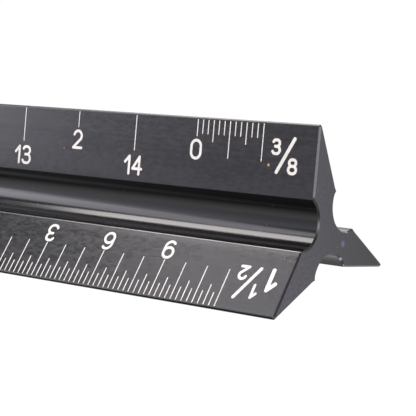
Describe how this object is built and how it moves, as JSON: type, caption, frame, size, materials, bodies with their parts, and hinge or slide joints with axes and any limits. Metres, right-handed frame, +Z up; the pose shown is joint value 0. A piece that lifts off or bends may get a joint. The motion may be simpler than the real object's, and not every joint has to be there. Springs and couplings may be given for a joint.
{
  "type": "triangular scale ruler",
  "caption": "architect's triangular scale: a three-bladed extruded bar with finger grooves and white-filled engraved graduations",
  "frame": {"origin": "bottom centre of the bounding box: midway along the bar, on the surface that the two lower blade edges rest on", "axes": "+X along the bar, +Z up through the upper blade, +Y across the bar"},
  "size_m": [0.32, 0.0222, 0.0193],
  "materials": {
    "anodised_bar": "satin",
    "enamel_fill": "matt"
  },
  "bodies": {
    "root": {"ruler_bar": "anodised_bar", "scale_3_8_graduations": "enamel_fill", "scale_3_8_figures": "enamel_fill", "scale_3_8_label": "enamel_fill", "scale_3_4_graduations": "enamel_fill", "scale_3_4_figures": "enamel_fill", "scale_3_4_label": "enamel_fill", "scale_1_1_2_graduations": "enamel_fill", "scale_1_1_2_figures": "enamel_fill", "scale_1_1_2_label": "enamel_fill", "scale_3_graduations": "enamel_fill", "scale_3_figures": "enamel_fill", "scale_3_label": "enamel_fill", "scale_16_graduations": "enamel_fill", "scale_16_figures": "enamel_fill", "scale_16_label": "enamel_fill", "scale_3_32_graduations": "enamel_fill", "scale_3_32_figures": "enamel_fill", "scale_3_32_label": "enamel_fill", "scale_3_16_graduations": "enamel_fill", "scale_3_16_figures": "enamel_fill", "scale_3_16_label": "enamel_fill", "scale_1_8_graduations": "enamel_fill", "scale_1_8_figures": "enamel_fill", "scale_1_8_label": "enamel_fill", "scale_1_4_graduations": "enamel_fill", "scale_1_4_figures": "enamel_fill", "scale_1_4_label": "enamel_fill", "scale_1_2_graduations": "enamel_fill", "scale_1_2_figures": "enamel_fill", "scale_1_2_label": "enamel_fill", "scale_1_graduations": "enamel_fill", "scale_1_figures": "enamel_fill", "scale_1_label": "enamel_fill"}
  },
  "joints": []
}
